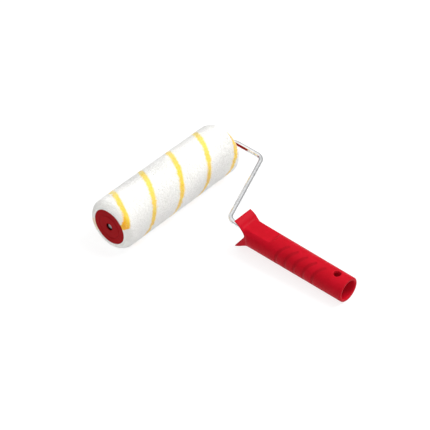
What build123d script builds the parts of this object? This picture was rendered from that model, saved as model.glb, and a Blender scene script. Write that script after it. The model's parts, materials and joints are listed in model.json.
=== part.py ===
from build123d import *
import os
from math import asin, atan2, cos, degrees, hypot, radians, sin, tan

# Paint roller: a striped pile roller on a bent wire frame with a moulded handle.
#
# Row frame: +X along the roller axle towards the wire's corner, -Y towards the
# handle's pole end, +Z up. The roller lies on a level surface: the pile and the
# lower rim of the handle touch z = 0. The origin is below the middle of the box.
#
# All sizes are in millimetres. Places on the frame and handle are given in the
# arm plane, which holds the axle and the handle's axis: x along the axle from the
# middle of the roller, y across it (the handle is at negative y), z square to it.

os.makedirs("parts", exist_ok=True)

# ---------------------------------------------------------------- roller sizes
roller_length = 220.0
core_outer_radius = 24.0
core_wall = 2.0
pile_depth = 12.0             # from the core to the tips
pile_end_land = 4.0           # ring of pile left round the cap, where it is sheared back
pile_bevel_length = 9.3
pile_bevel_bulge = 0.7        # how far the sheared slope bows out

# ------------------------------------------------------------------ end caps
cap_flange_overhang = 1.5     # the flange covers the core's wall and stands past it
cap_flange_thickness = 2.5
cap_recess = 0.8              # flange face, inside the end of the pile
cap_edge_chamfer = 0.6
cap_pile_gap = 0.3            # between the flange's edge and the pile
cap_skirt_length = 12.0
cap_skirt_wall = 1.8
cap_hub_wall = 2.75
cap_hub_lip = 1.5             # end wall that the bearing bush seats on
cap_hub_lip_gap = 0.6         # lip to wire, radial
cap_rib_count = 6
cap_rib_thickness = 1.6
cap_rib_depth = 9.0
cap_ring_inset = 8.5          # shallow ring in the flange's face, in from its edge
cap_ring_width = 1.2
cap_ring_depth = 0.4

# ------------------------------------------------- bearings and axle hardware
bush_wall = 1.67
bush_length = 14.0
running_clearance = 0.08      # bush bore to wire, radial
axial_play = 0.3              # washer to bush
washer_hole_clearance = 0.35  # washer's rim to the cap's hole
washer_clearance = 0.1        # washer bore to wire, radial
washer_thickness = 0.8
retainer_hole_clearance = 0.45  # push nut and collar to the cap's hole
push_nut_thickness = 0.8
push_nut_rim = 0.6
push_nut_tooth_count = 6
push_nut_slot_width = 0.7
push_nut_slot_depth = 0.6
collar_length = 2.6
tip_to_retainer = 1.2         # wire tip standing out of the push nut
retainer_depth = 3.9          # retainer's outer face, inside the end of the pile

# ------------------------------------------------------------------ wire frame
wire_radius = 3.5
wire_bend_radius = 14.0
wire_tip_chamfer = 0.6
corner_overhang = 16.4        # wire corner, beyond the far end of the roller
shoulder_y = -57.5            # second bend, on the leg that passes the roller
neck_y = -105.0               # third bend, in line with the handle
tang_end_y = -190.0           # end of the wire inside the handle

# ---------------------------------------------------------------------- handle
handle_x = 4.0                # handle axis, along the roller from its middle
handle_end_y = -301.5
tube_start_y = -139.0
pole_radius = 12.5
socket_clearance = 0.5
socket_wall = 4.15            # at the pole end
tube_taper = 0.75             # how much the radius grows towards the head
rim_round = 1.2
socket_depth = 95.0
socket_chamfer = 1.0
snap_hole_radius = 4.75
snap_hole_from_end = 18.5
head_side_inset = 2.05        # the head is narrower than the tube
head_root_y = -152.0          # where the guard's plate ends inside the tube
mouth_crotch_y = -144.6
mouth_crotch_z = 4.0
mouth_round = 2.5
upper_tip_y = -127.2
upper_tip_z = 20.3
upper_tip_thickness = 1.3
upper_mid_y = -137.4          # middle of the upper wing's front
upper_mid_z = 13.7
upper_back_mid_y = -135.4
upper_back_mid_z = 18.2
upper_back_root_y = -142.9
upper_back_root_z = 9.2
lower_tip_y = -128.5
lower_tip_z = -20.5
lower_tip_thickness = 1.3
lower_back_mid_y = -138.2
lower_back_mid_z = -16.2
lower_back_root_y = -149.1
lower_back_root_z = -7.6
cheek_end_y = -147.0          # flat sides of the head fade out from here
cheek_fade = 5.0
cheek_reach = 3.2
scoop_depth = 3.9             # flats for the thumb and finger
thumb_scoop_end_y = -178.0
finger_scoop_end_y = -160.0
scoop_end_radius = 12.3
cut_margin = 1.0              # how far a cut runs past the edge that it opens

# ------------------------------------------------------------------ grip grooves
groove_count = 5
groove_pitch = 14.6
first_groove_y = -202.0       # at groove_side_x out from the handle's axis
groove_side_x = 11.0
groove_width = 4.0
groove_depth = 0.7
groove_slant = 36.0           # degrees from square to the handle
groove_near_x = 2.0           # inner ends on the low X side, by the top's middle line
groove_far_x = 13.4           # inner ends on the high X side, down its flank
groove_lowest_z = -11.0

# ------------------------------------------------------- sizes and places worked out
pile_radius = core_outer_radius + pile_depth
cap_flange_radius = core_outer_radius + cap_flange_overhang
pile_step_radius = cap_flange_radius + cap_pile_gap
pile_end_radius = pile_step_radius + pile_end_land
cap_ring_radius = cap_flange_radius - cap_ring_inset
bush_bore_radius = wire_radius + running_clearance
bush_outer_radius = bush_bore_radius + bush_wall
cap_hub_radius = bush_outer_radius + cap_hub_wall
washer_outer_radius = bush_outer_radius - washer_hole_clearance
retainer_outer_radius = bush_outer_radius - retainer_hole_clearance
socket_radius = pole_radius + socket_clearance
tube_end_radius = socket_radius + socket_wall
tube_start_radius = tube_end_radius + tube_taper
head_width = 2 * (tube_start_radius - head_side_inset)
scoop_floor = tube_start_radius - scoop_depth
core_inner_radius = core_outer_radius - core_wall
cap_face_in = cap_recess                              # all measured inwards
cap_flange_in = cap_face_in + cap_flange_thickness    # from one end of the pile
retainer_in = retainer_depth
washer_in = retainer_in + collar_length
bush_in = washer_in + washer_thickness + axial_play
bush_end_in = bush_in + bush_length
hub_end_in = bush_end_in + cap_hub_lip
skirt_end_in = cap_flange_in + cap_skirt_length

# The roller and the lower edge of the handle's rounded rim rest on one level
# surface, which gives the arm plane its slope.
rim_reach = -handle_end_y - rim_round
rim_height = tube_end_radius - rim_round
tilt = asin((pile_radius - rim_round) / hypot(rim_reach, rim_height)) - atan2(rim_height, rim_reach)

corner_x = roller_length / 2 + corner_overhang
box_low_x = -roller_length / 2
box_high_x = corner_x + wire_radius
box_low_y = -(rim_reach * cos(tilt) + rim_height * sin(tilt) + rim_round)
box_high_y = pile_radius
axle_x = -(box_low_x + box_high_x) / 2
axle_y = -(box_low_y + box_high_y) / 2
axle_z = pile_radius

axle_axis = Axis((axle_x, axle_y, axle_z), (1, 0, 0))
arm = Plane(origin=(axle_x, axle_y, axle_z), x_dir=(1, 0, 0), z_dir=(0, -sin(tilt), cos(tilt)))
# Side view of the handle: local x is the arm's y, local y is the arm's z.
side = Plane(
    origin=arm.from_local_coords((handle_x, 0, 0)),
    x_dir=arm.y_dir,
    z_dir=arm.x_dir,
)
handle_axis = Axis(side.origin, arm.y_dir)


def end_plane(end):
    """Plane through the axle at one end: local x runs inwards, local y up."""
    origin = (axle_x + end * roller_length / 2, axle_y, axle_z)
    return Plane(origin=origin, x_dir=(-end, 0, 0), z_dir=(0, end, 0))


def across(y):
    """Plane square to the handle at y, facing the pole end."""
    origin = arm.from_local_coords((handle_x, y, 0))
    return Plane(origin=origin, x_dir=arm.x_dir, z_dir=-arm.y_dir)


def tube_radius(y):
    """Outer radius of the handle's tapered tube at y."""
    share = (y - tube_start_y) / (handle_end_y - tube_start_y)
    return tube_start_radius + share * (tube_end_radius - tube_start_radius)


def ring(end, start, length, inner, outer):
    """Plain ring round the axle, from start inwards."""
    with BuildPart() as body:
        with BuildSketch(end_plane(end)):
            with Locations((start + length / 2, (inner + outer) / 2)):
                Rectangle(length, outer - inner)
        revolve(axis=axle_axis)
    return body.part


def end_cap(end):
    """Moulded cap: flange, skirt pressed into the core, hub and ribs."""
    rib_length = core_inner_radius - cap_hub_radius - cap_skirt_wall / 2
    with BuildPart() as cap:
        with BuildSketch(end_plane(end)):
            with BuildLine():
                Polyline(
                    (cap_face_in, bush_outer_radius),
                    (cap_face_in, cap_flange_radius - cap_edge_chamfer),
                    (cap_face_in + cap_edge_chamfer, cap_flange_radius),
                    (cap_flange_in, cap_flange_radius),
                    (cap_flange_in, core_inner_radius),
                    (skirt_end_in, core_inner_radius),
                    (skirt_end_in, core_inner_radius - cap_skirt_wall),
                    (cap_flange_in, core_inner_radius - cap_skirt_wall),
                    (cap_flange_in, cap_hub_radius),
                    (hub_end_in, cap_hub_radius),
                    (hub_end_in, wire_radius + cap_hub_lip_gap),
                    (bush_end_in, wire_radius + cap_hub_lip_gap),
                    (bush_end_in, bush_outer_radius),
                    close=True,
                )
            make_face()
            with Locations((cap_face_in + cap_ring_depth / 2, cap_ring_radius)):
                Rectangle(cap_ring_depth, cap_ring_width, mode=Mode.SUBTRACT)
        revolve(axis=axle_axis)
        rib_plane = Plane(
            origin=(axle_x + end * (roller_length / 2 - cap_flange_in), axle_y, axle_z),
            x_dir=(0, 1, 0),
            z_dir=(-end, 0, 0),
        )
        with BuildSketch(rib_plane):
            with PolarLocations(cap_hub_radius + rib_length / 2, cap_rib_count):
                Rectangle(rib_length, cap_rib_thickness)
        extrude(amount=cap_rib_depth)
    return cap.part


def finish(part, name):
    """Label a finished piece and write it."""
    part.label = name
    export_step(part, f"parts/{name}.step")


# -------------------------------------------------------------------- the roller
core_length = roller_length - 2 * cap_flange_in
core_tube = ring(-1, cap_flange_in, core_length, core_inner_radius, core_outer_radius)
finish(core_tube, "core_tube")

# The pile is a thick closed tube, bevelled at both ends, with a shallow step
# in each end that clears the cap's flange.
slope_length = hypot(pile_bevel_length, pile_radius - pile_end_radius)
slope_out_x = (pile_radius - pile_end_radius) / slope_length * pile_bevel_bulge
slope_out_r = pile_bevel_length / slope_length * pile_bevel_bulge
slope_mid_x = pile_bevel_length / 2 - slope_out_x
slope_mid_r = (pile_radius + pile_end_radius) / 2 + slope_out_r
with BuildPart() as pile_sleeve:
    with BuildSketch(end_plane(-1)):
        with BuildLine():
            far = roller_length
            ThreePointArc(
                (0, pile_end_radius), (slope_mid_x, slope_mid_r), (pile_bevel_length, pile_radius)
            )
            Line((pile_bevel_length, pile_radius), (far - pile_bevel_length, pile_radius))
            ThreePointArc(
                (far - pile_bevel_length, pile_radius),
                (far - slope_mid_x, slope_mid_r),
                (far, pile_end_radius),
            )
            Polyline(
                (far, pile_end_radius),
                (far, pile_step_radius),
                (far - cap_flange_in, pile_step_radius),
                (far - cap_flange_in, core_outer_radius),
                (cap_flange_in, core_outer_radius),
                (cap_flange_in, pile_step_radius),
                (0, pile_step_radius),
                (0, pile_end_radius),
            )
        make_face()
    revolve(axis=axle_axis)
finish(pile_sleeve.part, "pile_sleeve")

# "outer" is the open end at low X, "inner" is the end beside the wire's corner.
for end, name in ((-1, "outer"), (1, "inner")):
    finish(end_cap(end), f"{name}_end_cap")
    bush = ring(end, bush_in, bush_length, bush_bore_radius, bush_outer_radius)
    finish(bush, f"{name}_bush")
    washer = ring(end, washer_in, washer_thickness, wire_radius + washer_clearance, washer_outer_radius)
    finish(washer, f"{name}_washer")

# ------------------------------------------------------------- axle end hardware
# A toothed push nut grips the wire near its tip: a flat face with slots between
# its teeth, and a rim that bears on the washer.
nut_plane = Plane(
    origin=(axle_x - roller_length / 2 + retainer_in, axle_y, axle_z),
    x_dir=(0, 1, 0),
    z_dir=(1, 0, 0),
)
with BuildPart() as push_nut:
    with BuildSketch(nut_plane):
        Circle(retainer_outer_radius)
        Circle(wire_radius, mode=Mode.SUBTRACT)
        with PolarLocations(wire_radius, push_nut_tooth_count):
            Rectangle(2 * push_nut_slot_depth, push_nut_slot_width, mode=Mode.SUBTRACT)
    extrude(amount=push_nut_thickness)
    with BuildSketch(nut_plane.offset(push_nut_thickness)):
        Circle(retainer_outer_radius)
        Circle(retainer_outer_radius - push_nut_rim, mode=Mode.SUBTRACT)
    extrude(amount=collar_length - push_nut_thickness)
finish(push_nut.part, "push_nut")

# A plain collar crimped on the wire keeps the roller off the corner.
stop_collar = ring(1, retainer_in, collar_length, wire_radius, retainer_outer_radius)
finish(stop_collar, "stop_collar")

# ------------------------------------------------------------------ the wire frame
tip_x = -roller_length / 2 + retainer_in - tip_to_retainer
with BuildPart() as wire_frame:
    with BuildLine(arm) as route:
        FilletPolyline(
            (tip_x, 0),
            (corner_x, 0),
            (corner_x, shoulder_y),
            (handle_x, neck_y),
            (handle_x, tang_end_y),
            radius=wire_bend_radius,
        )
    with BuildSketch(Plane(origin=arm.from_local_coords((tip_x, 0, 0)), z_dir=(1, 0, 0))):
        Circle(wire_radius)
    sweep(path=route.wires()[0])
    chamfer(wire_frame.edges().sort_by(Axis.X)[0], wire_tip_chamfer)
finish(wire_frame.part, "wire_frame")

# -------------------------------------------------------------------- the handle
# Shallow slanted grooves on both sides of the grip: slanted slabs cut out of a
# thin shell that follows the tube.
with BuildPart() as grip_grooves:
    with BuildSketch(side):
        with BuildLine():
            Polyline(
                (tube_start_y, tube_radius(tube_start_y) - groove_depth),
                (tube_start_y, tube_radius(tube_start_y) + groove_depth),
                (handle_end_y, tube_radius(handle_end_y) + groove_depth),
                (handle_end_y, tube_radius(handle_end_y) - groove_depth),
                close=True,
            )
        make_face()
    revolve(axis=handle_axis)
    groove_outer_x = tube_start_radius + groove_depth
    with BuildSketch(arm.offset(groove_lowest_z)):
        for hand, inner_x in ((-1, groove_near_x), (1, groove_far_x)):
            groove_length = (groove_outer_x - inner_x) / cos(radians(groove_slant))
            middle_x = (groove_outer_x + inner_x) / 2
            shift = (middle_x - groove_side_x) * tan(radians(groove_slant))
            for index in range(groove_count):
                y = first_groove_y - index * groove_pitch + shift
                place = Location((handle_x + hand * middle_x, y, 0), (0, 0, hand * groove_slant))
                with Locations(place):
                    SlotOverall(groove_length, groove_width)
    extrude(amount=tube_start_radius + groove_depth - groove_lowest_z, mode=Mode.INTERSECT)

with BuildPart() as handle_body:
    # Tapered round tube with a rounded rim at the pole end.
    with BuildSketch(side) as tube_outline:
        with BuildLine():
            Polyline(
                (tube_start_y, 0),
                (tube_start_y, tube_start_radius),
                (handle_end_y, tube_end_radius),
                (handle_end_y, 0),
                close=True,
            )
        make_face()
        fillet(tube_outline.vertices().group_by(Axis.X)[0].sort_by(Axis.Y)[-1], rim_round)
    revolve(axis=handle_axis)

    # Flats for the thumb above and the finger below, each running out in an arc.
    tube_front_y = tube_start_y + cut_margin
    for sign, scoop_end_y in ((1, thumb_scoop_end_y), (-1, finger_scoop_end_y)):
        arc_centre_z = scoop_floor + scoop_end_radius
        with BuildSketch(side):
            with BuildLine():
                Line((tube_front_y, sign * scoop_floor), (scoop_end_y, sign * scoop_floor))
                ThreePointArc(
                    (scoop_end_y, sign * scoop_floor),
                    (
                        scoop_end_y - scoop_end_radius * sin(radians(45)),
                        sign * (arc_centre_z - scoop_end_radius * cos(radians(45))),
                    ),
                    (scoop_end_y - scoop_end_radius, sign * arc_centre_z),
                )
                Polyline(
                    (scoop_end_y - scoop_end_radius, sign * arc_centre_z),
                    (tube_front_y, sign * arc_centre_z),
                    (tube_front_y, sign * scoop_floor),
                )
            make_face()
        extrude(amount=head_width, both=True, mode=Mode.SUBTRACT)

    # Flat cheeks beside the head, fading out into the round tube.
    with BuildSketch(arm.offset(-tube_start_radius)):
        for hand in (-1, 1):
            with BuildLine():
                Polyline(
                    (handle_x + hand * head_width / 2, tube_front_y),
                    (handle_x + hand * head_width / 2, cheek_end_y),
                    (handle_x + hand * (head_width / 2 + cheek_reach), cheek_end_y - cheek_fade),
                    (handle_x + hand * (head_width / 2 + cheek_reach), tube_front_y),
                    close=True,
                )
            make_face()
    extrude(amount=2 * tube_start_radius, mode=Mode.SUBTRACT)

    # Guard: a plate as wide as the head whose two wings spread from the tube.
    with BuildSketch(side):
        with BuildLine():
            ThreePointArc(
                (upper_tip_y, upper_tip_z + upper_tip_thickness),
                (upper_back_mid_y, upper_back_mid_z),
                (upper_back_root_y, upper_back_root_z),
            )
            Polyline(
                (upper_back_root_y, upper_back_root_z),
                (head_root_y, upper_back_root_z),
                (head_root_y, lower_back_root_z),
                (lower_back_root_y, lower_back_root_z),
            )
            ThreePointArc(
                (lower_back_root_y, lower_back_root_z),
                (lower_back_mid_y, lower_back_mid_z),
                (lower_tip_y, lower_tip_z - lower_tip_thickness),
            )
            Polyline(
                (lower_tip_y, lower_tip_z - lower_tip_thickness),
                (upper_tip_y, lower_tip_z - lower_tip_thickness),
                (upper_tip_y, upper_tip_z + upper_tip_thickness),
            )
        make_face()
    extrude(amount=head_width / 2, both=True)

    # Mouth between the wings, open towards the roller.
    mouth_front_y = upper_tip_y + cut_margin
    with BuildSketch(side) as mouth:
        with BuildLine():
            ThreePointArc(
                (upper_tip_y, upper_tip_z),
                (upper_mid_y, upper_mid_z),
                (mouth_crotch_y, mouth_crotch_z),
            )
            Polyline(
                (mouth_crotch_y, mouth_crotch_z),
                (lower_tip_y, lower_tip_z),
                (lower_tip_y, lower_tip_z - 2 * lower_tip_thickness),
                (mouth_front_y, lower_tip_z - 2 * lower_tip_thickness),
                (mouth_front_y, upper_tip_z),
                (upper_tip_y, upper_tip_z),
            )
        make_face()
        fillet(mouth.vertices().sort_by(Axis.X)[0], mouth_round)
    extrude(amount=head_width, both=True, mode=Mode.SUBTRACT)

    # Pole socket with a chamfered mouth, and the hole for the wire's tang.
    with BuildSketch(side):
        with BuildLine():
            Polyline(
                (handle_end_y, 0),
                (handle_end_y, socket_radius + socket_chamfer),
                (handle_end_y + socket_chamfer, socket_radius),
                (handle_end_y + socket_depth, socket_radius),
                (handle_end_y + socket_depth, 0),
                close=True,
            )
        make_face()
    revolve(axis=handle_axis, mode=Mode.SUBTRACT)
    with BuildSketch(across(tube_start_y)):
        Circle(wire_radius)
    extrude(amount=tube_start_y - tang_end_y, mode=Mode.SUBTRACT)

    # Round hole through the upper wall for a pole's snap button.
    with BuildSketch(arm):
        with Locations((handle_x, handle_end_y + snap_hole_from_end)):
            Circle(snap_hole_radius)
    extrude(amount=2 * tube_start_radius, mode=Mode.SUBTRACT)

    add(grip_grooves.part, mode=Mode.SUBTRACT)
finish(handle_body.part, "handle_body")

print(f"tilt {degrees(tilt):.3f} deg, axle at {axle_x:.3f}, {axle_y:.3f}, {axle_z:.3f}")
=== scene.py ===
"""Paint roller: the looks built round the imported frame.

A striped pile roller turns on a bent wire frame with a moulded handle. Every
length is in metres, in the frame's own axes: X along the axle towards the
wire's corner, the handle towards -Y, Z up, the floor at Z = 0.
"""

import sys

import json
import logging
import math
from dataclasses import dataclass, field
from enum import Enum
from typing import ClassVar

import bmesh
import bpy
import numpy as np
import openvdb as vdb
from mathutils import Matrix, Vector


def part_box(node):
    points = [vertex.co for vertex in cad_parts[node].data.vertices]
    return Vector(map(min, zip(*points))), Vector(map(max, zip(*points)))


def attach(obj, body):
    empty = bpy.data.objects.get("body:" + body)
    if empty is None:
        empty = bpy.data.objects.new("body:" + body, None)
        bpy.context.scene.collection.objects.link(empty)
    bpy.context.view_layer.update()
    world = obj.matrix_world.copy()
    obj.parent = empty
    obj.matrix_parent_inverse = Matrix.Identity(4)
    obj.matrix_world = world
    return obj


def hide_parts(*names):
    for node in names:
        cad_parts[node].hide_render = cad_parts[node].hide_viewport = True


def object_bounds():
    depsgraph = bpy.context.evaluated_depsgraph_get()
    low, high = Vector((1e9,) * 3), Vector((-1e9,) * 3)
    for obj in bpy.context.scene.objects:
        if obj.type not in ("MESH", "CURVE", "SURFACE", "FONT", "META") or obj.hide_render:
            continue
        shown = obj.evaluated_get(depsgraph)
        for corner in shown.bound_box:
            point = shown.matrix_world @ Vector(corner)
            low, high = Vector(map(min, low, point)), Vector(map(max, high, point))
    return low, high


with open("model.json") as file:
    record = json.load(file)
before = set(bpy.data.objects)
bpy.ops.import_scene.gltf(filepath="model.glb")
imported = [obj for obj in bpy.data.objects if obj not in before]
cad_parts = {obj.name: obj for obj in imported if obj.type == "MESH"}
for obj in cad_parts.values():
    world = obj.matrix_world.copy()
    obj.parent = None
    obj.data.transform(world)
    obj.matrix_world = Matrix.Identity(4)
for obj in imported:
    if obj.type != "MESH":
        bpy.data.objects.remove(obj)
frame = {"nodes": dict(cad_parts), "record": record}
CAD_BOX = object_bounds()

LOG = logging.getLogger("paint_roller")
MM = 0.001
FULL_TURN = 2 * math.pi


class Body(Enum):
    """Moving bodies that a piece can ride on."""

    FRAME = "frame"
    ROLLER = "roller"


class Slot(Enum):
    """Names of the record's material slots, passed along with new pieces."""

    PILE = "pile_white"
    CAP = "cap_red"
    HANDLE = "handle_red"
    WIRE = "wire_zinc"


class End(Enum):
    """Ends of the roller: the open end at low X, and the end by the wire's corner."""

    OUTER = -1
    INNER = 1


# ---------------------------------------------------------------- shader maths


class Signal:
    """A value that varies over a surface: an output socket with arithmetic."""

    def __init__(self, recipe: "Recipe", socket: bpy.types.NodeSocket) -> None:
        """Keep the recipe that owns the socket."""
        self.recipe = recipe
        self.socket = socket

    def _math(self, operation: str, *values: "Signal | float") -> "Signal":
        """Add one Math node.

        Args:
            operation: The Math node's operation.
            values: Its inputs, in order.

        Returns:
            The node's result.
        """
        return self.recipe.node("ShaderNodeMath", {"operation": operation}, dict(enumerate(values)))

    def __add__(self, other: "Signal | float") -> "Signal":
        """Sum."""
        return self._math("ADD", self, other)

    __radd__ = __add__

    def __sub__(self, other: "Signal | float") -> "Signal":
        """Difference."""
        return self._math("SUBTRACT", self, other)

    def __rsub__(self, other: float) -> "Signal":
        """Difference from a number."""
        return self._math("SUBTRACT", other, self)

    def __mul__(self, other: "Signal | float") -> "Signal":
        """Product."""
        return self._math("MULTIPLY", self, other)

    __rmul__ = __mul__

    def __truediv__(self, other: "Signal | float") -> "Signal":
        """Quotient."""
        return self._math("DIVIDE", self, other)

    def __abs__(self) -> "Signal":
        """Size without sign."""
        return self._math("ABSOLUTE", self)

    def ramp(self, low: float, high: float) -> "Signal":
        """Smooth step.

        Args:
            low: Value that gives 0.
            high: Value that gives 1, which may be under low.

        Returns:
            The step, from 0 to 1.
        """
        settings = {"interpolation_type": "SMOOTHSTEP"}
        inputs = {"Value": self, "From Min": low, "From Max": high}
        return self.recipe.node("ShaderNodeMapRange", settings, inputs)

    def axis(self, name: str) -> "Signal":
        """One axis of a vector."""
        return self.recipe.node("ShaderNodeSeparateXYZ", {}, {0: self}, name)


class Recipe:
    """The node tree of one material, round a single shader."""

    MIX_FACTOR, MIX_FIRST, MIX_SECOND, MIX_RESULT = 0, 6, 7, 2

    def __init__(self, name: str, **constants: object) -> None:
        """Start a material.

        Args:
            name: The material's name.
            constants: Values of the shader's own sockets, with _ for a space.
        """
        self.material = bpy.data.materials.new(name)
        self.material.use_nodes = True
        self.tree = self.material.node_tree
        self.shader = self.tree.nodes["Principled BSDF"]
        for key, value in constants.items():
            self.shader.inputs[key.replace("_", " ")].default_value = value

    def node(
        self,
        kind: str,
        settings: dict | None = None,
        inputs: dict | None = None,
        output: int | str = 0,
    ) -> Signal:
        """Add a node.

        Args:
            kind: The node's type.
            settings: Its properties, set first.
            inputs: Values or signals of its sockets, by name or place.
            output: The output to return.

        Returns:
            The chosen output.
        """
        made = self.tree.nodes.new(kind)
        for key, value in (settings or {}).items():
            setattr(made, key, value)
        for key, value in (inputs or {}).items():
            if isinstance(value, Signal):
                self.tree.links.new(value.socket, made.inputs[key])
            else:
                made.inputs[key].default_value = value
        return Signal(self, made.outputs[output])

    def place(self) -> Signal:
        """Position on the piece, in metres."""
        return self.node("ShaderNodeTexCoord", {}, {}, "Object")

    def attribute(self, name: str) -> Signal:
        """A number kept on the mesh."""
        return self.node("ShaderNodeAttribute", {"attribute_name": name}, {}, "Fac")

    def pointiness(self) -> Signal:
        """How sharply the surface turns outwards, about 0.5 on a flat."""
        return self.node("ShaderNodeNewGeometry", {}, {}, "Pointiness")

    def stretch(self, vector: Signal, factors: tuple[float, float, float]) -> Signal:
        """Vector times factors, axis by axis."""
        return self.node("ShaderNodeVectorMath", {"operation": "MULTIPLY"}, {0: vector, 1: factors})

    def along(self, vector: Signal, direction: tuple[float, float, float]) -> Signal:
        """How far a vector reaches along a direction.

        Args:
            vector: The vector.
            direction: The direction, of length 1.

        Returns:
            The reach.
        """
        return self.node(
            "ShaderNodeVectorMath", {"operation": "DOT_PRODUCT"}, {0: vector, 1: direction}, "Value"
        )

    def noise(self, where: Signal, size: float, detail: float = 2.0, rough: float = 0.5) -> Signal:
        """Soft noise.

        Args:
            where: The position to read.
            size: Width of one blotch.
            detail: Octaves of finer noise.
            rough: Weight of the finer noise.

        Returns:
            Noise, about 0.5 on average.
        """
        inputs = {"Vector": where, "Scale": 1 / size, "Detail": detail, "Roughness": rough}
        return self.node("ShaderNodeTexNoise", {}, inputs)

    def blend(self, share: Signal, first: object, second: object) -> Signal:
        """Mix two colours.

        Args:
            share: 0 for the first, 1 for the second.
            first: A colour or signal.
            second: A colour or signal.

        Returns:
            The mixed colour.
        """
        inputs = {self.MIX_FACTOR: share, self.MIX_FIRST: first, self.MIX_SECOND: second}
        return self.node("ShaderNodeMix", {"data_type": "RGBA"}, inputs, self.MIX_RESULT)

    def feed(self, **signals: Signal) -> None:
        """Link signals to the shader's sockets, with _ for a space in a name."""
        for key, value in signals.items():
            self.tree.links.new(value.socket, self.shader.inputs[key.replace("_", " ")])

    def relief(self, height: Signal, depth: float, strength: float = 1.0) -> None:
        """Bump the surface.

        Args:
            height: Relief, from 0 to 1.
            depth: Height of 1.
            strength: How much of it shows.
        """
        inputs = {"Height": height, "Distance": depth, "Strength": strength}
        self.feed(Normal=self.node("ShaderNodeBump", {}, inputs, "Normal"))


Colour = tuple[float, float, float, float]


def shade(red: float, green: float, blue: float) -> Colour:
    """Opaque linear colour."""
    return (red, green, blue, 1.0)


# -------------------------------------------------------------------- finishes


class Finish:
    """A surface finish that makes its material once and dresses pieces in it."""

    name: str
    made: ClassVar[dict[str, bpy.types.Material]] = {}

    def mix(self) -> Recipe:
        """Make the finish's recipe."""
        raise NotImplementedError

    def dress(self, *pieces: bpy.types.Object) -> None:
        """Give pieces this finish alone.

        Args:
            pieces: Mesh objects, packed ones among them.
        """
        if self.name not in Finish.made:
            Finish.made[self.name] = self.mix().material
        material = Finish.made[self.name]
        for piece in pieces:
            if piece.data.materials:
                for index in range(len(piece.data.materials)):
                    piece.material_slots[index].link = "OBJECT"
                    piece.material_slots[index].material = material
            else:
                piece.data.materials.append(material)


@dataclass(frozen=True)
class PileFinish(Finish):
    """Soft white pile with yellow marker yarn, read from the mesh's own marks."""

    name: str = "soft_pile"
    white: Colour = shade(0.81, 0.802, 0.775)
    # shaded_white: the darker white, used for random tone and for painted shade in the hollows between
    # tufts.
    shaded_white: Colour = shade(0.77, 0.77, 0.742)
    yellow: Colour = shade(0.85, 0.645, 0.0)
    # orange: warmer yarn on the bevels and stripe edges, and painted shade on the roller's lower side.
    orange: Colour = shade(0.88, 0.46, 0.0)
    blotch: float = 9.0 * MM
    strand: float = 0.45 * MM
    strand_depth: float = 0.1 * MM
    scatter: float = 1.8 * MM
    # glow: painted light, an emission in the pile's own colours that lifts the shade between fibres.
    glow: float = 0.12

    def mix(self) -> Recipe:
        """White and yarn colours with painted shade, a painted glow and a fibrous relief.

        Returns:
            The recipe.
        """
        recipe = Recipe(
            self.name, Specular_IOR_Level=0.05, Sheen_Weight=0.05, Sheen_Roughness=0.6,
            Subsurface_Weight=0.8, Subsurface_Radius=(1.0, 1.0, 0.95), Subsurface_Scale=self.scatter,
            Emission_Strength=self.glow,
        )
        place = recipe.place()
        tone = recipe.attribute("tone")
        clouds = recipe.noise(place, self.blotch, 3.0)
        strands = recipe.noise(place, self.strand, 3.0, 0.6)
        # Paleness mixes random tone and noise with the painted shade between tufts that the backing's
        # marks carry.
        paleness = (tone * 0.55 + clouds * 0.3 + strands * 0.3).ramp(0.25, 0.75)
        white = recipe.blend(paleness, self.shaded_white, self.white)
        uneven = clouds * 0.5 - 0.25 + tone * 0.3 - 0.15
        warmth = (recipe.attribute("warmth") + uneven).ramp(0.1, 0.9)
        yarn = recipe.blend(warmth, self.yellow, self.orange)
        colour = recipe.blend(recipe.attribute("stripe"), white, yarn)
        # The pile's colour also feeds its emission: painted light that lifts the shade between fibres.
        recipe.feed(Base_Color=colour, Emission_Color=colour, Roughness=strands * 0.2 + 0.78)
        recipe.relief(strands, self.strand_depth, 0.6)
        return recipe


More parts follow.
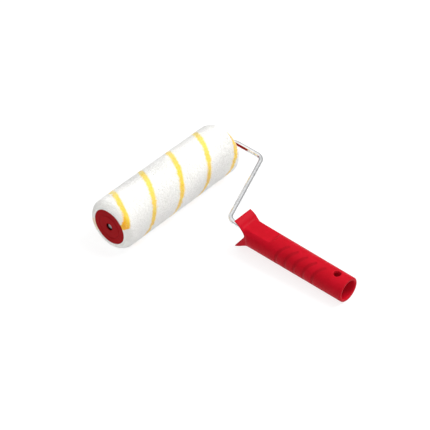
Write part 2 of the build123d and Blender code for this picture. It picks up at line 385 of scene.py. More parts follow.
@dataclass(frozen=True)
class PlasticFinish(Finish):
    """Moulded plastic with a fine grain, edges lighter from wear and a painted highlight, painted shade
    in recesses, a painted glow on inner walls and a faint parting line.
    """

    name: str
    body: Colour
    deep: Colour
    # The next colour lightens outward edges: partly wear, partly a painted highlight.
    edge_wear_and_highlight: Colour
    # The next colour is painted shade on groove floors and deep in bores.
    sunk: Colour = shade(0.35, 0.003, 0.010)
    # The next colour is a faint glow on the tube's inner wall: painted light seen through the handle's
    # hole.
    painted_inner_light: Colour = shade(0.05, 0.001, 0.002)
    gloss: float = 0.38
    mirror: float = 0.05
    grain: float = 0.35 * MM
    grain_depth: float = 0.03 * MM
    seam_normal: tuple[float, float, float] | None = None
    seam_offset: float = 0.0
    seam_half_width: float = 0.22 * MM

    def mix(self) -> Recipe:
        """Body colour, grain, painted shade on recess floors, edges partly worn and partly with a
        painted highlight, a painted glow on the inner wall, and the seam where there is one.

        Returns:
            The recipe.
        """
        recipe = Recipe(
            self.name, Specular_IOR_Level=self.mirror, Emission_Strength=1.0,
        )
        place = recipe.place()
        clouds = recipe.noise(place, 14 * MM, 3.0)
        grain = recipe.noise(place, self.grain, 2.0, 0.6)
        scuffs = recipe.noise(recipe.stretch(place, (1.0, 0.25, 1.0)), 1.6 * MM, 5.0, 0.65)
        # Outward edges turn lighter: partly wear, partly a painted highlight.
        edge = recipe.pointiness().ramp(0.515, 0.60) * (clouds * 0.4 + 0.15)
        body = recipe.blend(clouds.ramp(0.3, 0.7), self.deep, self.body)
        colour = recipe.blend(edge, body, self.edge_wear_and_highlight)
        # Painted shade: darker where the mesh marks a recess.
        colour = recipe.blend(recipe.attribute("sunk"), colour, self.sunk)
        inside = recipe.attribute("inside")
        rough = scuffs.ramp(0.45, 0.75) * 0.14 + grain * 0.06 + self.gloss
        height = grain
        if self.seam_normal is not None:
            offset = abs(recipe.along(place, self.seam_normal) - self.seam_offset)
            seam = offset.ramp(self.seam_half_width, 0.0)
            height = grain * 0.5 + seam * 1.6
            rough = rough + seam * 0.1
        # Painted light: the inner wall glows faintly.
        glow = recipe.blend(inside, shade(0.0, 0.0, 0.0), self.painted_inner_light)
        recipe.feed(Base_Color=colour, Roughness=rough, Emission_Color=glow)
        recipe.relief(height, self.grain_depth, 0.7)
        return recipe


@dataclass(frozen=True)
class WireFinish(Finish):
    """Bright zinc-plated wire with fine drawing lines along it."""

    name: str = "bright_zinc"
    bright: Colour = shade(0.94, 0.945, 0.95)
    dull: Colour = shade(0.68, 0.69, 0.70)
    sawn: Colour = shade(0.3, 0.3, 0.31)
    cut_run: float = 0.012
    lines_round: float = 90.0
    lines_along: float = 6.0

    def mix(self) -> Recipe:
        """Metal with drawing lines, read from the wire's own map.

        Returns:
            The recipe.
        """
        recipe = Recipe(self.name, Metallic=1.0)
        place = recipe.place()
        strip = recipe.node("ShaderNodeUVMap", {"uv_map": "wire_map"})
        drawn = recipe.noise(
            recipe.stretch(strip, (self.lines_round, self.lines_along, 1.0)), 1.0, 3.0, 0.6
        )
        clouds = recipe.noise(place, 6 * MM, 4.0, 0.6)
        dulled = (clouds * 0.7 + drawn * 0.5).ramp(0.45, 0.85)
        metal = recipe.blend(dulled, self.bright, self.dull)
        cut = strip.axis("Y").ramp(self.cut_run, self.cut_run / 2)
        recipe.feed(
            Base_Color=recipe.blend(cut, metal, self.sawn),
            Roughness=drawn * 0.12 + clouds * 0.08 + cut * 0.3 + 0.03,
        )
        recipe.relief(drawn, 0.02 * MM, 0.5)
        return recipe


@dataclass(frozen=True)
class SteelFinish(Finish):
    """Blued spring steel or washer steel, turned on a press."""

    name: str
    light: Colour
    dark: Colour

    def mix(self) -> Recipe:
        """Metal with concentric marks round the axle.

        Returns:
            The recipe.
        """
        recipe = Recipe(self.name, Metallic=1.0)
        place = recipe.place()
        marks = recipe.noise(recipe.stretch(place, (0.2, 1.0, 1.0)), 0.5 * MM, 4.0, 0.65)
        clouds = recipe.noise(place, 3 * MM, 3.0)
        lightness = (marks * 0.6 + clouds * 0.4).ramp(0.35, 0.65)
        recipe.feed(
            Base_Color=recipe.blend(lightness, self.dark, self.light),
            Roughness=marks * 0.25 + 0.22,
        )
        recipe.relief(marks, 0.03 * MM, 0.5)
        return recipe


@dataclass(frozen=True)
class PaperFinish(Finish):
    """Plain pale studio paper."""

    name: str = "studio_paper"
    light: Colour = shade(0.23, 0.23, 0.23)
    shadow: Colour = shade(0.21, 0.21, 0.21)
    glow: float = 0.8

    def mix(self) -> Recipe:
        """Matt paper on a light table, with the faintest mottle.

        Returns:
            The recipe.
        """
        recipe = Recipe(
            self.name, Specular_IOR_Level=0.05, Roughness=0.95,
            Emission_Color=shade(1.0, 1.0, 1.0), Emission_Strength=self.glow,
        )
        mottle = recipe.noise(recipe.place(), 0.25, 2.0)
        recipe.feed(Base_Color=recipe.blend(mottle, self.shadow, self.light))
        return recipe


# ----------------------------------------------------------------- mesh making


def solid(name: str, points: np.ndarray, *groups: np.ndarray) -> bpy.types.Object:
    """Make a smooth-shaded mesh object from arrays.

    Args:
        name: The piece's name.
        points: Corner positions, one row each.
        groups: Faces, as rows of point numbers, each array with one face size.

    Returns:
        The new object, in the scene.
    """
    corners = np.concatenate([group.ravel() for group in groups]).astype(np.int32)
    sizes = np.concatenate([np.full(len(group), group.shape[1]) for group in groups])
    starts = np.concatenate([[0], np.cumsum(sizes)[:-1]]).astype(np.int32)
    mesh = bpy.data.meshes.new(name)
    mesh.vertices.add(len(points))
    mesh.vertices.foreach_set("co", points.astype(np.float32).ravel())
    mesh.loops.add(len(corners))
    mesh.loops.foreach_set("vertex_index", corners)
    mesh.polygons.add(len(sizes))
    mesh.polygons.foreach_set("loop_start", starts)
    mesh.update(calc_edges=True)
    mesh.validate()
    mesh.shade_smooth()
    piece = bpy.data.objects.new(name, mesh)
    bpy.context.scene.collection.objects.link(piece)
    return piece


def point_mark(piece: bpy.types.Object, name: str, values: np.ndarray) -> None:
    """Keep one number for each point of a mesh."""
    layer = piece.data.attributes.new(name, "FLOAT", "POINT")
    layer.data.foreach_set("value", values.astype(np.float32))


def corner_map(piece: bpy.types.Object, name: str, places: np.ndarray) -> None:
    """Keep a flat map, one place for each face corner."""
    layer = piece.data.uv_layers.new(name=name)
    layer.data.foreach_set("uv", places.astype(np.float32).ravel())


def grid_faces(rows: int, columns: int, close_rows: bool, close_columns: bool) -> np.ndarray:
    """Four-sided faces of a grid of points numbered row by row.

    Args:
        rows: Rows of points.
        columns: Points in a row.
        close_rows: Whether the last row joins the first.
        close_columns: Whether a row's last point joins its first.

    Returns:
        Faces, one row of four point numbers each.
    """
    i = np.arange(rows if close_rows else rows - 1)[:, None]
    j = np.arange(columns if close_columns else columns - 1)[None, :]
    i_next, j_next = (i + 1) % rows, (j + 1) % columns
    faces = np.stack(np.broadcast_arrays(
        i * columns + j, i * columns + j_next, i_next * columns + j_next, i_next * columns + j
    ), axis=-1)
    return faces.reshape(-1, 4)


def face_outwards(piece: bpy.types.Object) -> None:
    """Turn every closed shell's faces outwards.

    Args:
        piece: The piece.
    """
    work = bmesh.new()
    work.from_mesh(piece.data)
    bmesh.ops.recalc_face_normals(work, faces=work.faces)
    work.to_mesh(piece.data)
    work.free()


def settle(piece: bpy.types.Object) -> None:
    """Replace a piece's mesh by what its modifiers make, and drop them.

    Args:
        piece: The piece.
    """
    graph = bpy.context.evaluated_depsgraph_get()
    made = bpy.data.meshes.new_from_object(piece.evaluated_get(graph), depsgraph=graph)
    piece.modifiers.clear()
    piece.data = made


def rounded(
    outline: list[tuple[float, float, float]], steps: int = 5, spacing: float = 1.4 * MM
) -> np.ndarray:
    """Round the corners of a closed outline and divide its long sides.

    Args:
        outline: Corners as across, up and radius.
        steps: Parts of each rounded corner.
        spacing: Longest side left undivided.

    Returns:
        Points along the outline, one row each.
    """
    made: list[np.ndarray] = []
    corners = [np.array(corner[:2]) for corner in outline]
    for index, (_, _, radius) in enumerate(outline):
        here = corners[index]
        back = corners[index - 1] - here
        on = corners[(index + 1) % len(corners)] - here
        back_length, on_length = np.linalg.norm(back), np.linalg.norm(on)
        back, on = back / back_length, on / on_length
        half = math.acos(float(np.clip(back @ on, -1, 1))) / 2
        reach = min(radius / math.tan(half), back_length * 0.45, on_length * 0.45)
        radius = reach * math.tan(half)
        centre = here + (back + on) / np.linalg.norm(back + on) * radius / math.sin(half)
        first, last = here + back * reach - centre, here + on * reach - centre
        turn = math.atan2(first[0] * last[1] - first[1] * last[0], float(first @ last))
        for step in range(steps + 1):
            angle = turn * step / steps
            cosine, sine = math.cos(angle), math.sin(angle)
            spin = np.array([[cosine, -sine], [sine, cosine]])
            made.append(centre + spin @ first)
    dense: list[np.ndarray] = []
    for index, point in enumerate(made):
        following = made[(index + 1) % len(made)]
        parts = max(1, math.ceil(float(np.linalg.norm(following - point)) / spacing))
        dense.extend(point + (following - point) * part / parts for part in range(parts))
    return np.array(dense)


def register(piece: bpy.types.Object, body: Body, slot: Slot, *nodes: str) -> None:
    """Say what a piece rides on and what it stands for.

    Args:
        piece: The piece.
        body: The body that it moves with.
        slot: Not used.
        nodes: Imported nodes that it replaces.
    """
    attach(piece, body.value)
    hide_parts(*nodes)
    faces = len(piece.data.polygons)
    LOG.info("%s: %d faces, rides %s, stands for %s", piece.name, faces, body.value, nodes)


@dataclass(frozen=True)
class Arm:
    """The sloping plane that holds the axle and the handle's axis."""

    origin: np.ndarray
    axes: np.ndarray

    @classmethod
    def from_record(cls, record: dict) -> "Arm":
        """Read the plane from the record.

        Args:
            record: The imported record.

        Returns:
            The plane, with its origin at the middle of the axle.
        """
        joint = record["behaviour"]["joints"][0]
        socket = next(mount for mount in record["mounts"] if mount["name"] == "pole_socket")
        along = np.array(joint["axis"], dtype=float)
        across = -np.array(socket["axis"], dtype=float)
        axes = np.array([along, across, np.cross(along, across)])
        return cls(np.array(joint["pos_m"], dtype=float), axes)

    def place(self, points: np.ndarray) -> np.ndarray:
        """Points given on the plane's axes, in the frame."""
        return self.origin + points @ self.axes

    def read(self, points: np.ndarray) -> np.ndarray:
        """Points of the frame, on the plane's axes."""
        return (points - self.origin) @ self.axes.T


# ------------------------------------------------------------------ the roller


@dataclass
class PileSleeve:
    """Pile sleeve: a tufted backing under short leaning fibres, with marker yarn."""

    arm: Arm
    low_x: float
    high_x: float
    pile_radius: float
    end_radius: float = 29.8 * MM
    step_radius: float = 25.8 * MM
    step_depth: float = 3.3 * MM
    land_gap: float = 0.4 * MM
    inner_radius: float = 24.0 * MM
    bevel_length: float = 9.3 * MM
    bevel_bulge: float = 0.7 * MM
    loft: float = 1.1 * MM
    tuft_pitch: float = 2.3 * MM
    tuft_height: float = 0.35 * MM
    yarn_first: float = 19.0 * MM
    yarn_spacing: float = 52.8 * MM
    yarn_half_width: float = 3.9 * MM
    yarn_bevel_growth: float = 0.9
    yarn_edge: float = 0.45 * MM
    yarn_last: float = 158.0
    yarn_gap: float = 60.0
    rim_from: float = 130.0
    rim_share: float = 0.35
    drift: float = 4.0 * MM
    drift_start: float = 100.0
    drift_span: float = 32.0
    drift_depth: float = 20.0 * MM
    loop_pitch: float = 2.7 * MM
    loop_paleness: float = 0.12
    loop_width: float = 0.5
    columns: int = 300
    rows: int = 280
    fibre_pieces: int = 4
    fibres_each: int = 46000
    fibre_half_width: float = 0.3 * MM
    fibre_steps: int = 900
    root_depth: float = 0.45 * MM
    flow: float = 0.35 * MM
    stray_lean: float = 0.3 * MM
    tuft_pull: float = 0.3
    root_pull: float = 0.9
    splay: float = 0.8
    tip_reach: float = 0.35 * MM
    seed: int = 11
    finish: PileFinish = field(default_factory=PileFinish)

    def __post_init__(self) -> None:
        """Seed the draws and scatter the tufts."""
        self.draw = np.random.default_rng(self.seed)
        self.length = self.high_x - self.low_x
        self.tufts_round = round(FULL_TURN * self.pile_radius / self.tuft_pitch)
        self.tufts_along = round(self.length / self.tuft_pitch)
        shape = (self.tufts_along, self.tufts_round)
        self.tuft_shift = self.draw.uniform(-0.28, 0.28, (*shape, 2))
        self.tuft_tone = self.draw.uniform(0, 1, shape)
        self.tuft_rise = self.draw.normal(0, 0.12 * MM, shape)
        self.tuft_stray = self.draw.normal(0, 0.35 * MM, shape)

    def profile(self, inset: float, steps: int) -> tuple[np.ndarray, np.ndarray, np.ndarray]:
        """The sheared outside of the pile, from the outer end to the inner.

        Args:
            inset: How far inside the tips.
            steps: Points on it, evenly spread.

        Returns:
            Distance from the outer end, radius, and outward slope as an angle from radial.
        """
        chord = math.hypot(self.bevel_length, self.pile_radius - self.end_radius)
        lean = math.atan2(self.pile_radius - self.end_radius, self.bevel_length)
        share = np.linspace(0, 1, 40)
        bow = self.bevel_bulge * 4 * share * (1 - share)
        slope_x = share * self.bevel_length - bow * math.sin(lean)
        slope_r = self.end_radius + share * chord * math.sin(lean) + bow * math.cos(lean)
        land_r = np.linspace(self.step_radius + self.land_gap, self.end_radius, 8)[:-1]
        land_x = np.zeros(len(land_r))
        x = np.concatenate([land_x, slope_x, self.length - slope_x[::-1], land_x + self.length])
        r = np.concatenate([land_r, slope_r, slope_r[::-1], land_r[::-1]])
        gone = np.concatenate([[0], np.cumsum(np.hypot(np.diff(x), np.diff(r)))])
        at = np.linspace(0, gone[-1], steps)
        x, r = np.interp(at, gone, x), np.interp(at, gone, r)
        soft = 1.2 * MM
        near = np.arange(-3, 4) * soft / 3
        tilt = np.zeros_like(at)
        for step in near:
            ahead = np.clip(at + step + soft, 0, gone[-1])
            behind = np.clip(at + step - soft, 0, gone[-1])
            tilt += np.arctan2(
                np.interp(ahead, at, r) - np.interp(behind, at, r),
                np.interp(ahead, at, x) - np.interp(behind, at, x),
            ) / len(near)
        return x + inset * np.sin(tilt), r - inset * np.cos(tilt), tilt

    def nearest_tuft(self, x: np.ndarray, angle: np.ndarray) -> tuple[np.ndarray, ...]:
        """Find each place's tuft.

        Args:
            x: Distance from the outer end.
            angle: Angle round the axle.

        Returns:
            The way to the tuft's middle along and round, and the tuft's row and column.
        """
        across = x / self.length * self.tufts_along
        around = angle / FULL_TURN * self.tufts_round
        best = np.full(x.shape, np.inf)
        found = [np.zeros(x.shape) for _ in range(4)]
        for step_row in (-1, 0, 1):
            for step_column in (-1, 0, 1):
                row = np.clip(np.floor(across) + step_row, 0, self.tufts_along - 1).astype(int)
                stagger = 0.5 * (row % 2)
                column_place = np.floor(around - stagger) + step_column
                column = column_place.astype(int) % self.tufts_round
                shift = self.tuft_shift[row, column]
                to_row = (row + 0.5 + shift[..., 0] - across) * self.tuft_pitch
                to_column = (column_place + 0.5 + stagger + shift[..., 1] - around) * self.tuft_pitch
                gap = np.hypot(to_row, to_column)
                closer = gap < best
                best = np.where(closer, gap, best)
                for slot, value in zip(found, (to_row, to_column, row, column)):
                    slot[:] = np.where(closer, value, slot)
        return found[0], found[1], found[2].astype(int), found[3].astype(int)

    def yarn_marks(
        self, x: np.ndarray, angle: np.ndarray, stray: np.ndarray
    ) -> tuple[np.ndarray, np.ndarray]:
        """Where the marker yarn shows, and how warm its colour is, with painted shade on the roller's
        lower side.

        Args:
            x: Distance from the outer end.
            angle: Angle round the axle, from level on the handle's far side.
            stray: How far each place strays from the yarn's line.

        Returns:
            Share of yarn and its warmth with painted shade, each from 0 to 1.
        """
        quarter = math.pi / 2
        drift = np.clip((np.degrees(angle) - self.drift_start) / self.drift_span, 0, 1) * self.drift
        drift = drift * np.clip((self.drift_depth - x) / self.bevel_length, 0, 1)
        line = self.yarn_first + drift - 2 * self.yarn_spacing * (angle - quarter) / FULL_TURN
        turns = (x - line) / self.yarn_spacing
        off = (turns - np.round(turns)) * self.yarn_spacing + stray
        from_end = np.minimum(x, self.length - x)
        bevelled = np.clip(1 - from_end / self.bevel_length, 0, 1)
        loop_phase = angle * self.pile_radius / self.loop_pitch * FULL_TURN
        loops = 0.5 + 0.5 * np.cos(loop_phase + np.sign(off))
        ragged = 1 + self.loop_width * (loops - 0.5) * (1 - bevelled)
        wide = self.yarn_half_width * (1 + self.yarn_bevel_growth * bevelled) * ragged
        middle = np.clip(1 - np.abs(off) / wide * 1.6, 0, 1)
        share = np.clip((wide - np.abs(off)) / self.yarn_edge + 0.5, 0, 1)
        share = share * (1 - self.loop_paleness * np.maximum(loops, middle) * (1 - bevelled))
        past = np.degrees(angle) - self.yarn_last
        gap = (x < self.drift_depth) & (past > 0) & (past < self.yarn_gap)
        rim = (x < self.bevel_length) & (past > self.rim_from)
        share = share * np.where(gap, 0, 1) * np.where(rim, self.rim_share, 1)
        # Painted shade: the yarn turns towards orange on the roller's lower side.
        underside_shade = 0.5 - 0.5 * np.cos(angle - quarter)
        warmth = np.clip(0.15 + 0.75 * bevelled + 0.4 * underside_shade + 0.2 * np.abs(off) / wide, 0, 1)
        return share, warmth

    def on_row_axes(self, x: np.ndarray, r: np.ndarray, angle: np.ndarray) -> np.ndarray:
        """Points from distance, radius and angle on the arm, in the frame.

        Args:
            x: Distance from the outer end.
            r: Radius.
            angle: Angle round the axle.

        Returns:
            The points.
        """
        half = self.length / 2
        flat = np.stack([x - half, r * np.cos(angle), r * np.sin(angle)], axis=-1)
        centre = np.array([(self.low_x + self.high_x) / 2 - self.arm.origin[0], 0.0, 0.0])
        return self.arm.place(flat + centre)

    def mark(self, piece: bpy.types.Object, marks: tuple[np.ndarray, np.ndarray, np.ndarray]) -> None:
        """Keep the yarn's share, the yarn's warmth with painted shade, and the pile's tone with painted
        shade on a piece's points.
        """
        for name, values in zip(("stripe", "warmth", "tone"), marks):
            point_mark(piece, name, values.ravel())

    def build_backing(self) -> bpy.types.Object:
        """Make the tufted backing as one closed tube.

        Returns:
            The backing.
        """
        x, r, tilt = self.profile(self.loft, self.rows)
        angle = np.arange(self.columns) / self.columns * FULL_TURN
        grid_x, grid_angle = np.meshgrid(x, angle, indexing="ij")
        to_row, to_column, row, column = self.nearest_tuft(grid_x, grid_angle)
        crown = 1 - (to_row**2 + to_column**2) / (0.62 * self.tuft_pitch) ** 2
        rise = self.tuft_height * np.clip(crown, -0.6, 1) + self.tuft_rise[row, column] * 0.8
        outer_x = grid_x - rise * np.sin(tilt)[:, None]
        outer_r = r[:, None] + rise * np.cos(tilt)[:, None]
        share, warmth = self.yarn_marks(grid_x, grid_angle, self.tuft_stray[row, column])
        wall = [
            (self.length - self.loft - 0.5 * MM, self.step_radius),
            (self.length - self.step_depth, self.step_radius),
            (self.length - self.step_depth, self.inner_radius),
            (self.length / 2, self.inner_radius),
            (self.step_depth, self.inner_radius),
            (self.step_depth, self.step_radius),
            (self.loft + 0.5 * MM, self.step_radius),
        ]
        inner_x = np.array([[place[0]] * self.columns for place in wall])
        inner_r = np.array([[place[1]] * self.columns for place in wall])
        all_x, all_r = np.vstack([outer_x, inner_x]), np.vstack([outer_r, inner_r])
        all_angle = np.broadcast_to(angle, all_x.shape)
        points = self.on_row_axes(all_x, all_r, all_angle).reshape(-1, 3)
        faces = grid_faces(len(all_x), self.columns, True, True)
        backing = solid("pile_backing", points, faces)
        face_outwards(backing)
        blank = np.zeros_like(inner_x)
        # Tone: random per tuft, and lower in the hollows between tufts, which is painted shade.
        tone = np.clip(0.35 + 0.3 * crown, 0, 1) * 0.6 + self.tuft_tone[row, column] * 0.3
        self.mark(backing, (
            np.vstack([share, blank]), np.vstack([warmth, blank]), np.vstack([tone, blank + 0.3])
        ))
        flat_x, flat_r = all_x.mean(axis=1), all_r.mean(axis=1)
        steps = np.hypot(np.diff(flat_x, append=flat_x[0]), np.diff(flat_r, append=flat_r[0]))
        run = np.concatenate([[0], np.cumsum(steps)])
        rows_run = np.repeat(run[:-1], self.columns)
        self.add_bake_map(backing, rows_run, all_angle.ravel(), run[-1])
        return backing

    def add_bake_map(
        self, piece: bpy.types.Object, run: np.ndarray, angle: np.ndarray, whole_run: float
    ) -> None:
        """Unroll a piece round the axle, keeping each face in one stretch.

        Args:
            piece: The piece.
            run: Each point's distance along the section.
            angle: Each point's angle round the axle.
            whole_run: Length of the whole section.
        """
        mesh = piece.data
        corner = np.zeros(len(mesh.loops), dtype=np.int32)
        mesh.loops.foreach_get("vertex_index", corner)
        starts = np.zeros(len(mesh.polygons), dtype=np.int32)
        totals = np.zeros(len(mesh.polygons), dtype=np.int32)
        mesh.polygons.foreach_get("loop_start", starts)
        mesh.polygons.foreach_get("loop_total", totals)
        shares = []
        for values, period in ((angle, FULL_TURN), (run, whole_run)):
            own = values[corner] / period
            lead = np.repeat(own[starts], totals)
            own = own + np.round(lead - own)
            low = np.repeat(np.minimum.reduceat(own, starts), totals)
            shares.append((own - np.floor(low + 1e-6)) / 1.02)
        margin = 0.01
        places = np.stack(shares, axis=-1) * (1 - 2 * margin) + margin
        corner_map(piece, "OFBake", np.clip(places, 0, 1))

    def build_fibres(self, index: int) -> bpy.types.Object:
        """Make one batch of short leaning fibres, each a closed spike.

        Args:
            index: The batch's number.

        Returns:
            The batch.
        """
        count = self.fibres_each
        base_x, base_r, base_tilt = self.profile(self.loft + self.root_depth, self.fibre_steps)
        steps = np.hypot(np.diff(base_x), np.diff(base_r))
        run_at = np.concatenate([[0], np.cumsum(steps)])
        area_at = np.concatenate([[0], np.cumsum(steps * base_r[1:])])
        area = self.draw.uniform(0, area_at[-1], count)
        angle = self.draw.uniform(0, FULL_TURN, count)
        tables = (base_x, base_r, base_tilt, run_at)
        x, r, tilt, run = (np.interp(area, area_at, table) for table in tables)
        to_row, to_column, row, column = self.nearest_tuft(x, angle)
        uneven = self.draw.normal(0.05 * MM, 0.2 * MM, count)
        long = self.loft + self.root_depth + uneven + self.tuft_rise[row, column]
        flow_a = np.sin(x / (17 * MM) + 2.1 * np.sin(angle * 2 + 0.7)) * self.flow
        flow_b = np.sin(x / (23 * MM) - 1.7 * np.cos(angle * 3)) * self.flow
        lean_x = self.tuft_pull * to_row + flow_a + self.draw.normal(0, self.stray_lean, count)
        lean_s = self.tuft_pull * to_column + flow_b + self.draw.normal(0, self.stray_lean, count)
        grow_x = -np.sin(tilt) * self.splay
        grow_r = np.sqrt(1 - grow_x**2)
        turn = self.draw.uniform(0, FULL_TURN, count)
        width = self.fibre_half_width * self.draw.uniform(0.7, 1.25, count)
        rings = []
        for height, bend, thick in ((0.0, 0.0, 1.0), (1.0, 1.0, 0.0)):
            mid_s = lean_s * bend
            for corner in range(3 if thick else 1):
                spread = turn + corner * FULL_TURN / 3
                shift = lean_x * bend + width * thick * np.cos(spread)
                ring_x = x + grow_x * long * height + shift * np.cos(tilt)
                ring_r = r + grow_r * long * height + shift * np.sin(tilt)
                ring_r = np.minimum(ring_r, self.pile_radius + self.tip_reach)
                ring_angle = angle + (mid_s + width * thick * np.sin(spread)) / self.pile_radius
                rings.append((ring_x, ring_r, ring_angle, run + shift))
        stacked = [np.stack([ring[axis] for ring in rings], axis=1) for axis in range(4)]
        points = self.on_row_axes(*stacked[:3]).reshape(-1, 3)
        sides = [(0, 1, 3), (1, 2, 3), (2, 0, 3), (2, 1, 0)]
        first = np.arange(count)[:, None, None] * len(rings)
        piece = solid(
            f"pile_fibres_{index + 1}", points,
            (first + np.array(sides)).reshape(-1, 3),
        )
        stray = self.tuft_stray[row, column] + self.draw.normal(0, 0.25 * MM, count)
        root_x = x + self.root_pull * to_row
        root_angle = angle + self.root_pull * to_column / self.pile_radius
        share, warmth = self.yarn_marks(root_x, root_angle, stray)
        share = share * self.draw.uniform(0.8, 1.0, count)
        own_tone = self.draw.uniform(-0.05, 0.3, count)
        tone = 0.35 + 0.4 * self.tuft_tone[row, column] + own_tone
        warmth = np.clip(warmth + self.draw.normal(0, 0.12, count), 0, 1)
        self.mark(piece, tuple(np.repeat(values, len(rings)) for values in (share, warmth, tone)))
        self.add_bake_map(piece, stacked[3].ravel(), stacked[2].ravel(), run_at[-1] * 1.02)
        return piece

    def build(self) -> None:
        """Make, dress and register the backing and the fibres."""
        pieces = [self.build_backing()]
        pieces += [self.build_fibres(index) for index in range(self.fibre_pieces)]
        self.finish.dress(*pieces)
        for piece in pieces:
            register(piece, Body.ROLLER, Slot.PILE, "pile_sleeve")


@dataclass
class EndCap:
    """Moulded end cap: flange with a shallow ring, skirt, hub and ribs."""

    arm: Arm
    end: End
    pile_end_x: float
    flange_radius: float
    finish: PlasticFinish
    face_in: float = 0.8 * MM
    flange_thickness: float = 2.5 * MM
    edge_round: float = 0.7 * MM
    hole_radius: float = 5.25 * MM
    hole_round: float = 0.35 * MM
    hole_shade_in: float = 0.5 * MM
    hub_radius: float = 8.0 * MM
    hub_end_in: float = 23.1 * MM
    lip_start_in: float = 21.6 * MM
    lip_radius: float = 4.1 * MM
    skirt_outer: float = 22.0 * MM
    skirt_inner: float = 20.2 * MM
    skirt_end_in: float = 15.3 * MM
    ring_radius: float = 17.0 * MM
    ring_width: float = 1.2 * MM
    ring_depth: float = 0.4 * MM
    rib_count: int = 6
    rib_thickness: float = 1.6 * MM
    rib_length: float = 9.0 * MM
    segments: int = 160

    def outline(self) -> np.ndarray:
        """Section through one side of the cap.

        Returns:
            Its points, as distance in and radius.
        """
        face, back = self.face_in, self.face_in + self.flange_thickness
        small = 0.3 * MM
        groove_in = self.ring_radius - self.ring_width / 2
        groove_out = self.ring_radius + self.ring_width / 2
        floor = face + self.ring_depth
        return rounded([
            (face, self.hole_radius, self.hole_round),
            (face, groove_in, small),
            (floor, groove_in + 0.1 * MM, small / 2),
            (floor, groove_out - 0.1 * MM, small / 2),
            (face, groove_out, small),
            (face, self.flange_radius, self.edge_round),
            (back, self.flange_radius, small),
            (back, self.skirt_outer, small),
            (self.skirt_end_in, self.skirt_outer, small),
            (self.skirt_end_in, self.skirt_inner, small),
            (back, self.skirt_inner, small),
            (back, self.hub_radius, small),
            (self.hub_end_in, self.hub_radius, small),
            (self.hub_end_in, self.lip_radius, small),
            (self.lip_start_in, self.lip_radius, small / 2),
            (self.lip_start_in, self.hole_radius, small / 2),
        ])

    def on_row_axes(self, inward: np.ndarray, across: np.ndarray, up: np.ndarray) -> np.ndarray:
        """Points from distance in and two offsets from the axle, in the frame."""
        x = self.pile_end_x - self.end.value * inward
        return np.stack([x, self.arm.origin[1] + across, self.arm.origin[2] + up], axis=-1)

    def build_body(self) -> bpy.types.Object:
        """Turn the section about the axle.

        Returns:
            The cap without its ribs.
        """
        section = self.outline()
        angle = np.arange(self.segments) / self.segments * FULL_TURN
        inward = np.broadcast_to(section[:, :1], (len(section), self.segments))
        radius = section[:, 1:]
        points = self.on_row_axes(inward, radius * np.cos(angle), radius * np.sin(angle))
        faces = grid_faces(len(section), self.segments, True, True)
        cap = solid(f"{self.end.name.lower()}_cap", points.reshape(-1, 3), faces)
        # The bore past hole_shade_in gets painted shade, near black.
        near_bore = section[:, 1] < self.hole_radius + 0.1 * MM
        in_hole = near_bore & (section[:, 0] > self.face_in + self.hole_shade_in)
        point_mark(cap, "sunk", np.repeat(in_hole.astype(float), self.segments))
        return cap

    def add_ribs(self, cap: bpy.types.Object) -> None:
        """Add the ribs between hub and skirt as closed bevelled bars.

        Args:
            cap: The cap's body.
        """
        work = bmesh.new()
        work.from_mesh(cap.data)
        inner, outer = self.hub_radius - 0.4 * MM, self.skirt_inner + 0.6 * MM
        back = self.face_in + self.flange_thickness - 0.3 * MM
        middle = self.pile_end_x - self.end.value * (back + self.rib_length / 2)
        for rib in range(self.rib_count):
            turn = Matrix.Rotation(rib * FULL_TURN / self.rib_count, 4, "X")
            size = Matrix.Diagonal((self.rib_length, outer - inner, self.rib_thickness, 1))
            place = Matrix.Translation((middle, self.arm.origin[1], self.arm.origin[2]))
            out = Matrix.Translation((0, (inner + outer) / 2, 0))
            made = bmesh.ops.create_cube(work, size=1, matrix=place @ turn @ out @ size)
            edges = {edge for corner in made["verts"] for edge in corner.link_edges}
            bmesh.ops.bevel(
                work, geom=list(edges), offset=0.25 * MM, segments=2, affect="EDGES", profile=0.5
            )
        bmesh.ops.recalc_face_normals(work, faces=work.faces)
        work.to_mesh(cap.data)
        work.free()
        cap.data.shade_smooth()

    def build(self) -> None:
        """Make, dress and register the cap."""
        cap = self.build_body()
        self.add_ribs(cap)
        self.finish.dress(cap)
        register(cap, Body.ROLLER, Slot.CAP, f"{self.end.name.lower()}_end_cap")


# ------------------------------------------------------------------- the frame


